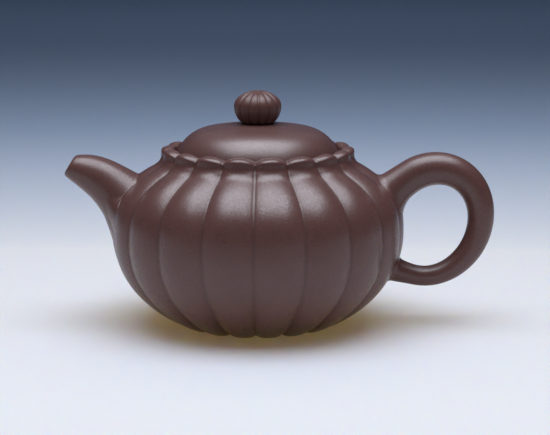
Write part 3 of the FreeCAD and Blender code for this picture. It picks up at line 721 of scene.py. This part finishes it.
rib_angles, rib_across = lobe_columns(RIBS, RIB_HALF_COLUMNS)
on_ball = smooth_rise(knob_path[:, 0], RIB_START, RIB_FULL)
on_ball *= np.arange(len(knob_path)) < np.argmax(knob_path[:, 1])
rib_half_width = np.maximum(knob_path[:, :1], RIB_SMALLEST_RADIUS) * np.pi / RIBS
knob_depth = lobe_depth(rib_across, rib_half_width, RIB_VALLEY * on_ball[:, None], RIB_POWER,
                        RIB_CHANNEL * on_ball[:, None], RIB_EDGES)
knob_rows = knob_path[:, None, :] - knob_depth[..., None] * outward(knob_path)[:, None, :]
rib_way = (1 - np.abs(rib_across)) * rib_half_width
knob_groove = on_ball[:, None] * (1 - smooth_rise(rib_way, *RIB_EDGES))
knob_grid = turned(knob_rows, rib_angles + KNOB_TURN)
# The knob's groove mark paints shade into its grooves, as on the wall.
lid_knob = grid_piece("lid_knob", knob_grid, "lid", marks={"groove": knob_groove})
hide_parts("knob")

# %% [markdown]
# The disc that closes the bottom is set in a little above the resting ring. A cylinder
# with a bevel would do. As a turned outline it has two poles, in the middle of its upper
# and lower sides, and its rim reaches a hair into the wall, so that no gap shows.

# %% Base
BASE_OVERLAP, BASE_CORE = 0.2 * MM, 0.5 * MM
BASE_STEP, BASE_ROUNDING = 0.4 * MM, 1.2
base_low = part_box("base_disc")[0].z
base_path = np.array([[BASE_CORE, FLOOR_HEIGHT], [BASE_RADIUS + BASE_OVERLAP, FLOOR_HEIGHT],
                      [BASE_RADIUS + BASE_OVERLAP, base_low], [BASE_CORE, base_low]])
base_path = softened(even_steps(base_path, BASE_STEP), BASE_ROUNDING)
pot_base = grid_piece("pot_base", turned(base_path, turned_angles), "pot",
                      ends=[(0, 0, FLOOR_HEIGHT), (0, 0, base_low)])
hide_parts("base_disc")

# %% [markdown]
# Now the surfaces. Clay could be painted on an image, but that needs an unwrapped mesh
# and shows its pixels close up. Procedural nodes fill space like the clay itself. Nodes
# are placed and linked one by one, so four short helpers keep the rest readable: each
# adds one node and gives back its output.

# %% Shader helpers
def noise(tree, place, scale, detail, roughness):
    """Cloudy values round one half; scale is the number of clouds in a metre."""
    node = tree.nodes.new("ShaderNodeTexNoise")
    node.inputs["Scale"].default_value = scale
    node.inputs["Detail"].default_value = detail
    node.inputs["Roughness"].default_value = roughness
    tree.links.new(place, node.inputs["Vector"])
    return node.outputs["Fac"]


def spread(tree, value, low, high, to_low, to_high):
    """The value's range from low to high, stretched to run from to_low to to_high."""
    node = tree.nodes.new("ShaderNodeMapRange")
    for name, number in zip(("From Min", "From Max", "To Min", "To Max"), (low, high, to_low, to_high)):
        node.inputs[name].default_value = number
    tree.links.new(value, node.inputs["Value"])
    return node.outputs["Result"]


def maths(tree, operation, *values):
    """One operation on values, each of them a number or another node's output."""
    node = tree.nodes.new("ShaderNodeMath")
    node.operation = operation
    for socket, value in zip(node.inputs, values):
        if isinstance(value, (int, float)):
            socket.default_value = value
        else:
            tree.links.new(value, socket)
    return node.outputs["Value"]


def tint(tree, amount, base, colour):
    """The base colour, mixed with another by an amount from 0 to 1."""
    node = tree.nodes.new("ShaderNodeMix")
    node.data_type = "RGBA"
    first, second = [socket for socket in node.inputs if socket.type == "RGBA"]
    tree.links.new(amount, node.inputs["Factor"])
    tree.links.new(base, first)
    second.default_value = colour
    return next(socket for socket in node.outputs if socket.type == "RGBA")


print("shader helpers:", ", ".join(helper.__name__ for helper in (noise, spread, maths, tint)))

# %% [markdown]
# Purple-brown stoneware is fired without glaze, so its surface shows the clay itself: a
# faint mottling, fine grain, sand grains paler or darker than the rest, and a satin sheen
# where the potter burnished it. The grooves are also painted darker, a painted shade for
# the shade that falls in them. These could be mixed by eye in the node editor. A recipe of
# values comes first here, so that each is easily found and changed.

# %% Clay recipe
# Each noise has a scale, a detail and a roughness.
CLAY_NOISE = {"mottle": (55, 4, 0.55), "grain": (1400, 3, 0.6), "sand": (3000, 2, 0.6),
              "specks": (1700, 1, 0.5), "strokes": (210, 3, 0.5)}
# Each tint has its noise, the range that brings it in, the most of it and its colour.
CLAY_TINTS = (("mottle", 0.35, 0.7, 0.4, (0.156, 0.071, 0.062, 1)),
              ("grain", 0.4, 0.7, 0.3, (0.10, 0.042, 0.040, 1)),
              ("specks", 0.66, 0.8, 0.35, (0.25, 0.16, 0.14, 1)),
              ("specks", 0.34, 0.2, 0.5, (0.045, 0.02, 0.019, 1)))
# Each mark has the most of its colour, that colour, and how much duller it makes the clay.
# The groove mark's colour is painted shade in the grooves; the scraped mark's is the paler
# clay of scraped faces.
GROOVE_SHADE_AND_SCRAPING = (("Groove_shade", 0.3, (0.06, 0.026, 0.022, 1), 0.08),
              ("Scraped", 0.4, (0.19, 0.10, 0.085, 1), 0.25))
CLAY_UNEVEN, UNEVEN_RANGE = (("strokes", 0.04), ("grain", 0.1)), (0.3, 0.7)
SAND_HEIGHT, STROKE_HEIGHT = 0.35, 0.3
RUBBED_RANGE, BREAK_RANGE, BREAK_LEAVES = (0.15, 0.85), (0.35, 0.65), 0.7
print("the clay has", len(CLAY_NOISE), "noises and", len(CLAY_TINTS) + len(GROOVE_SHADE_AND_SCRAPING), "tints")

# %% [markdown]
# One node group mixes the recipe, so that every piece is of the same clay and only its
# finish differs. Faces that look up are rubbed most and get a thin polish, which breaks
# up over the grain. The group gives out colours and values, and the shader stays outside.

# %% Clay group
def group_sockets(group):
    """The group's named inputs and outputs."""
    kinds = {"Clay": "NodeSocketColor", "Color": "NodeSocketColor"}
    for way, names in (("INPUT", ("Clay", "Groove_shade", "Scraped", "Upward", "Sheen", "Rubbing")),
                       ("OUTPUT", ("Color", "Roughness", "Height", "Polish"))):
        for name in names:
            group.interface.new_socket(name, in_out=way, socket_type=kinds.get(name, "NodeSocketFloat"))


def make_clay_group():
    """Colour, roughness, height and polish of burnished clay, from Object coordinates.

    Tints are mixed in by how far a noise passes a limit. The marks mix in painted shade in the
    grooves and the paler clay of scraped faces. The roughness is the sheen plus small swings.
    The polish is upward faces times rubbing, less on grain, none if scraped.
    """
    tree = bpy.data.node_groups.new("burnished_clay", "ShaderNodeTree")
    group_sockets(tree)
    given, made = tree.nodes.new("NodeGroupInput").outputs, tree.nodes.new("NodeGroupOutput").inputs
    place = tree.nodes.new("ShaderNodeTexCoord").outputs["Object"]
    clouds = {name: noise(tree, place, *values) for name, values in CLAY_NOISE.items()}
    colour, rough = given["Clay"], given["Sheen"]
    for name, low, high, most, shade in CLAY_TINTS:
        colour = tint(tree, spread(tree, clouds[name], low, high, 0, most), colour, shade)
    for name, swing in CLAY_UNEVEN:
        rough = maths(tree, "ADD", rough, spread(tree, clouds[name], *UNEVEN_RANGE, -swing, swing))
    # The groove mark paints shade into the grooves, darker clay where shade falls; the scraped mark is the
    # inside's own paler, duller clay.
    for name, share, shade, dulling in GROOVE_SHADE_AND_SCRAPING:
        colour = tint(tree, maths(tree, "MULTIPLY", given[name], share), colour, shade)
        rough = maths(tree, "ADD", rough, maths(tree, "MULTIPLY", given[name], dulling))
    height = maths(tree, "ADD", clouds["grain"], maths(tree, "MULTIPLY", clouds["sand"], SAND_HEIGHT))
    height = maths(tree, "ADD", height, maths(tree, "MULTIPLY", clouds["strokes"], STROKE_HEIGHT))
    rubbed = spread(tree, given["Upward"], *RUBBED_RANGE, 0, 1)
    broken = spread(tree, clouds["grain"], *BREAK_RANGE, 1, BREAK_LEAVES)
    polish = maths(tree, "MULTIPLY", rubbed, given["Rubbing"])
    polish = maths(tree, "MULTIPLY", polish, maths(tree, "SUBTRACT", 1.0, given["Scraped"]))
    polish = maths(tree, "MULTIPLY", polish, broken)
    for name, value in (("Color", colour), ("Roughness", rough), ("Height", height), ("Polish", polish)):
        tree.links.new(value, made[name])
    return tree


clay_group = make_clay_group()
print("clay group nodes:", len(clay_group.nodes))

# %% [markdown]
# One clay, four finishes: the lid is polished, the wall, spout and handle are burnished,
# the knob is worn by fingers and has little gloss on its sides, and hidden faces are only
# scraped. Each finish could be a copy of one big material. Here each is a small material
# round the same group, with its own sheen, rubbing and gloss. The polish is the shader's
# coat, and a Bump node turns the grain's height into small tilts of the surface.

# %% Clay materials
CLAY = (0.124, 0.0525, 0.0470, 1)
GRAIN_HEIGHT, POLISH_ROUGHNESS, POLISH_IOR = 0.06 * MM, 0.37, 1.56


def clay_material(name, sheen, rubbing, specular):
    """One clay finish: the shared group with its own sheen and rubbing, on a principled shader."""
    material = bpy.data.materials.new(name)
    material.use_nodes = True
    nodes, links = material.node_tree.nodes, material.node_tree.links
    shader = nodes["Principled BSDF"].inputs
    clay = nodes.new("ShaderNodeGroup")
    clay.node_tree = clay_group
    for socket, value in (("Clay", CLAY), ("Sheen", sheen), ("Rubbing", rubbing)):
        clay.inputs[socket].default_value = value
    # The groove attribute drives the painted shade in the grooves.
    for mark, socket in (("groove", "Groove_shade"), ("scraped", "Scraped"), ("upward", "Upward")):
        attribute = nodes.new("ShaderNodeAttribute")
        attribute.attribute_name = mark
        links.new(attribute.outputs["Fac"], clay.inputs[socket])
    bumped = nodes.new("ShaderNodeBump")
    bumped.inputs["Distance"].default_value = GRAIN_HEIGHT
    links.new(clay.outputs["Height"], bumped.inputs["Height"])
    links.new(bumped.outputs["Normal"], shader["Normal"])
    for made, socket in (("Color", "Base Color"), ("Roughness", "Roughness"), ("Polish", "Coat Weight")):
        links.new(clay.outputs[made], shader[socket])
    shader["Coat Roughness"].default_value = POLISH_ROUGHNESS
    shader["Coat IOR"].default_value = POLISH_IOR
    shader["Specular IOR Level"].default_value = specular
    return material


polished = clay_material("polished_purple_clay", sheen=0.36, rubbing=1.0, specular=0.55)
burnished = clay_material("burnished_purple_clay", sheen=0.33, rubbing=0.55, specular=0.55)
handled = clay_material("handled_purple_clay", sheen=0.42, rubbing=0.7, specular=0.28)
scraped = clay_material("scraped_purple_clay", sheen=0.6, rubbing=0, specular=0.4)
print("roughness of the polish:", POLISH_ROUGHNESS)

# %% [markdown]
# Each piece now gets its finish, in the first slot of its mesh. The strainer inside the
# pot keeps its CAD mesh, because a pierced dome needs no finer shape, and the scraped
# clay goes into the slots that it already has.

# %% Finish of each piece
finishes = {polished: [lid_shell], burnished: [pot_wall, pot_spout, pot_handle], handled: [lid_knob],
            scraped: [pot_base, mouth_ledge, lid_seat, lid_collar]}
for finish, pieces in finishes.items():
    for piece in pieces:
        piece.data.materials.append(finish)
    print(finish.name, "on", ", ".join(piece.name for piece in pieces))
for material_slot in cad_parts["strainer_dome"].material_slots:
    material_slot.material = scraped

# %% [markdown]
# The stage is a sheet of studio paper that lies on the table and sweeps up behind the
# pot. It only carries light and shadow. A plane with one edge extruded and bevelled would
# do. Here a line in the side view, flat and then curled up, is carried sideways.

# %% Table and backdrop
SWEEP_BACK, SWEEP_RADIUS, SWEEP_TOP, SWEEP_HALF_WIDTH, SWEEP_FRONT = 2.4, 0.5, 1.6, 2.8, -1.8
FLAT_POINTS, CURL_POINTS = 30, 24
curl = np.linspace(0, np.pi / 2, CURL_POINTS)
flat_line = np.linspace(SWEEP_FRONT, SWEEP_BACK, FLAT_POINTS, endpoint=False)
sweep_line = np.concatenate([
    np.stack([flat_line, np.zeros(FLAT_POINTS)], axis=1),
    np.stack([SWEEP_BACK + SWEEP_RADIUS * np.sin(curl), SWEEP_RADIUS * (1 - np.cos(curl))], axis=1),
    [[SWEEP_BACK + SWEEP_RADIUS, SWEEP_TOP]]])
sweep_points = np.concatenate([np.insert(sweep_line, 0, side, axis=1)
                               for side in (-SWEEP_HALF_WIDTH, SWEEP_HALF_WIDTH)])
count = len(sweep_line)
left = np.arange(count - 1)
sweep_faces = np.stack([left, left + count, left + count + 1, left + 1], axis=1)
sweep_mesh = bpy.data.meshes.new("table_sweep")
sweep_mesh.from_pydata(sweep_points.tolist(), [], sweep_faces.tolist())
sweep_mesh.shade_smooth()
sweep = bpy.data.objects.new("table_sweep", sweep_mesh)
bpy.context.scene.collection.objects.link(sweep)
print("faces of the sweep:", len(sweep_faces))

# %% [markdown]
# The paper is graded: pale under the pot, blue further back and dark at the far end. A
# lamp could make such a fade too, but a colour ramp along Y stays where it is put. The
# part of the table in front of the pot is painted dark, a painted shade standing in for
# the dim room in front, so that it doesn't light up the belly.
# Light also passes a little way through the paper, red further than blue, which keeps
# the shadow under the pot light and warm. In the shader that is the subsurface part.

# %% Graded paper
TABLE_PALE, TABLE_BLUE = (0.81, 0.785, 0.785, 1), (0.385, 0.485, 0.665, 1)
# The second colour on the next line is painted shade for the table in front of the pot.
TABLE_DARK, TABLE_FRONT_SHADE = (0.235, 0.34, 0.545, 1), (0.31, 0.3, 0.29, 1)
TABLE_BACK, TABLE_BACK_POWER, TABLE_FRONT = (0.14, 1.35), 0.62, (-0.15, -0.3)
TABLE_BLUE_STOP, TABLE_ROUGHNESS = 0.53, 0.8
TABLE_GLOW, TABLE_GLOW_DEPTH, TABLE_GLOW_SHARE = (1.0, 0.65, 0.32), 0.3, 0.55

paper = bpy.data.materials.new("graded_paper")
paper.use_nodes = True
tree = paper.node_tree
place = tree.nodes.new("ShaderNodeSeparateXYZ")
tree.links.new(tree.nodes.new("ShaderNodeTexCoord").outputs["Object"], place.inputs["Vector"])
back_fade = spread(tree, place.outputs["Y"], *TABLE_BACK, 0, 1)
front_shade_fade = spread(tree, place.outputs["Y"], *TABLE_FRONT, 0, 1)
shade = tree.nodes.new("ShaderNodeValToRGB")
shade.color_ramp.elements.new(TABLE_BLUE_STOP)
for stop, colour in zip(shade.color_ramp.elements, (TABLE_PALE, TABLE_BLUE, TABLE_DARK)):
    stop.color = colour
tree.links.new(maths(tree, "POWER", back_fade, TABLE_BACK_POWER), shade.inputs["Fac"])
paper_shader = tree.nodes["Principled BSDF"].inputs
# In front of the pot the table's colour fades to painted shade.
tree.links.new(tint(tree, front_shade_fade, shade.outputs["Color"], TABLE_FRONT_SHADE), paper_shader["Base Color"])
paper_shader["Roughness"].default_value = TABLE_ROUGHNESS
paper_shader["Subsurface Weight"].default_value = TABLE_GLOW_SHARE
paper_shader["Subsurface Radius"].default_value = TABLE_GLOW
paper_shader["Subsurface Scale"].default_value = TABLE_GLOW_DEPTH
sweep_mesh.materials.append(paper)
print("paper nodes:", len(tree.nodes))

# %% [markdown]
# One broad soft light straight above gives the long highlights on the shoulder and the
# lid, and the pale table throws some of it back at the belly from below. The room in
# front stays dim, so the belly keeps its colour. Several lamps round the pot would
# flatten the lobes. A weak second lamp is there for the backdrop.

# %% Light
COOL_WHITE, ROOM_LIGHT = (0.87, 0.92, 1.0), 0.04


def soft_box(name, place, aim, size, power):
    """A rectangular area light at a place, turned to face a point."""
    light = bpy.data.lights.new(name, "AREA")
    light.shape = "RECTANGLE"
    light.size, light.size_y = size
    light.energy, light.color = power, COOL_WHITE
    lamp = bpy.data.objects.new(name, light)
    lamp.location = place
    lamp.rotation_euler = (Vector(place) - Vector(aim)).to_track_quat("Z", "Y").to_euler()
    bpy.context.scene.collection.objects.link(lamp)
    print(f"{name}: {power} W, {size[0]} x {size[1]} m")


soft_box("overhead_softbox", place=(0, -0.1, 0.8), aim=(0, -0.1, 0), size=(0.92, 0.66), power=9.4)
soft_box("backdrop_lamp", place=(0, 1.7, 1.2), aim=(0, 2.2, 0), size=(2, 0.5), power=2.4)
world = bpy.data.worlds.new("studio")
bpy.context.scene.world = world
world.use_nodes = True
room = world.node_tree.nodes["Background"].inputs
room["Color"].default_value = (*COOL_WHITE, 1)
room["Strength"].default_value = ROOM_LIGHT
bpy.context.scene.view_settings.view_transform = "Standard"
